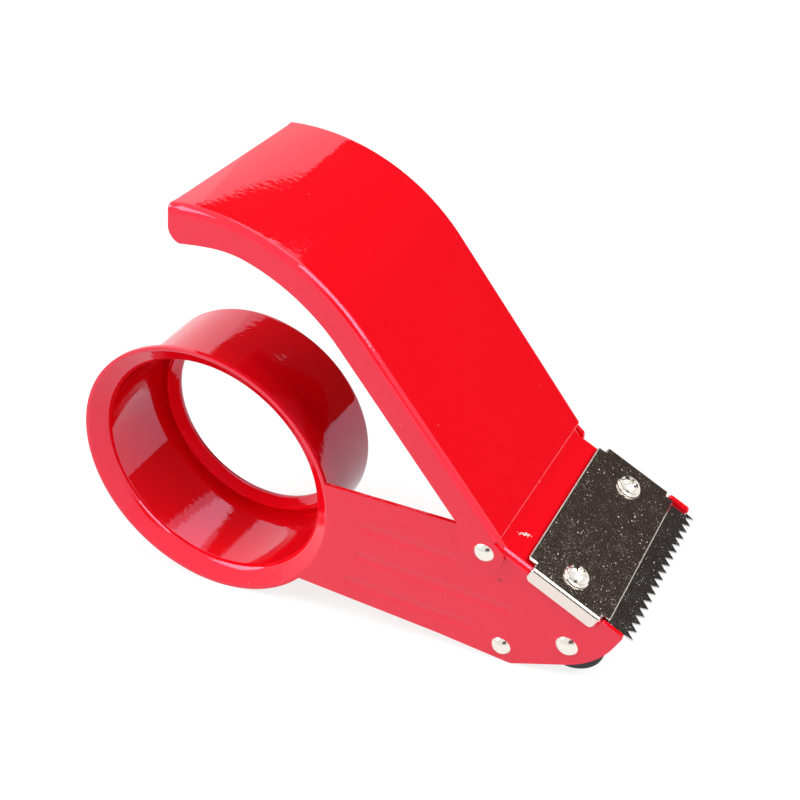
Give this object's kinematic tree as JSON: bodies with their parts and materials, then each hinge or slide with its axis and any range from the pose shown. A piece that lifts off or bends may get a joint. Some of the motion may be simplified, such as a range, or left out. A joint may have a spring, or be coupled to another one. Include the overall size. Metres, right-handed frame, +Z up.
{
  "type": "packing tape dispenser",
  "caption": "Hand-held steel packing tape dispenser: red enamelled frame with a flared roll drum, curved channel handle, plated cover, serrated blade and rubber roller.",
  "frame": {"origin": "bottom centre of the bounding box, on the surface that the rim and the feet stand on", "axes": "+X forward to the blade, +Y across the tape, from the side plate to the far cheek, +Z up"},
  "size_m": [0.1746, 0.0676, 0.1303],
  "materials": {
    "frame_enamel": "gloss red enamel",
    "handle_enamel": "gloss red enamel with a slight orange peel",
    "dark_nickel": "dark bright nickel plate, lightly speckled",
    "blade_steel": "ground blade steel, dark plated",
    "bright_nickel": "bright nickel plate",
    "zinc_steel": "zinc plated",
    "rubber": "matt black rubber",
    "nylon": "natural nylon"
  },
  "bodies": {
    "frame": {"side_frame": "frame_enamel", "handle": "handle_enamel", "cover_plate": "dark_nickel", "serrated_blade": "blade_steel", "cover_screw_near": "bright_nickel", "cover_screw_far": "bright_nickel", "lock_washer_near": "bright_nickel", "lock_washer_far": "bright_nickel", "screw_nut_near": "zinc_steel", "screw_nut_far": "zinc_steel", "handle_rivet_near": "bright_nickel", "handle_rivet_far": "bright_nickel", "roller_axle": "bright_nickel", "guide_axle": "bright_nickel", "roller_spacer_near": "zinc_steel", "roller_spacer_far": "zinc_steel", "guide_spacer_near": "zinc_steel", "guide_spacer_far": "zinc_steel"},
    "front_roller": {"roller_core": "nylon", "rubber_roller": "rubber"},
    "rear_roller": {"guide_roller": "zinc_steel"}
  },
  "joints": [
    {"name": "front_roller_spin", "type": "hinge", "parent": "frame", "child": "front_roller", "pos_m": [0.06901, 0, 0.0119], "axis": [0, 1, 0], "continuous": true},
    {"name": "guide_roller_spin", "type": "hinge", "parent": "frame", "child": "rear_roller", "pos_m": [0.04921, 0, 0.0055], "axis": [0, 1, 0], "continuous": true}
  ]
}
